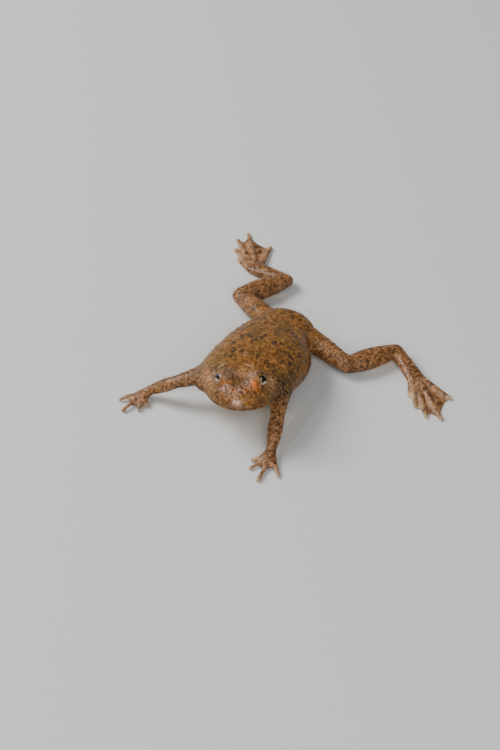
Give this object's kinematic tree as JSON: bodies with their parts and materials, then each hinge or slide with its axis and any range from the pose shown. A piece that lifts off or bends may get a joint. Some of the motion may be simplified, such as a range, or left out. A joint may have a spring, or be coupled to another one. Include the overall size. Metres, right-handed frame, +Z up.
{
  "type": "yellow-bellied toad model",
  "caption": "Life-size still model of a yellow-bellied toad sprawled flat, head raised, arms reaching out and long webbed hind legs bent behind it.",
  "frame": {"origin": "on the floor, at the middle of the model's bounding box", "axes": "+Z up, the snout to -Y and the toad's left side to +X"},
  "size_m": [0.0738, 0.0876, 0.0164],
  "materials": {
    "skin_back": "moist warty skin, olive brown with dark spots",
    "skin_limb": "moist finely warty skin, brown with dark spots",
    "skin_digits": "moist smooth skin, ochre brown",
    "eye": "wet polished eye, silvery gold iris with a dark heart-shaped pupil"
  },
  "bodies": {
    "root": {"head": "skin_back", "torso": "skin_back", "eye_left": "eye", "eye_right": "eye", "upper_arm_left": "skin_limb", "upper_arm_right": "skin_limb", "forearm_left": "skin_limb", "forearm_right": "skin_limb", "hand_left": "skin_digits", "hand_right": "skin_digits", "thigh_left": "skin_limb", "thigh_right": "skin_limb", "shank_left": "skin_limb", "shank_right": "skin_limb", "foot_left": "skin_digits", "foot_right": "skin_digits"}
  },
  "joints": []
}
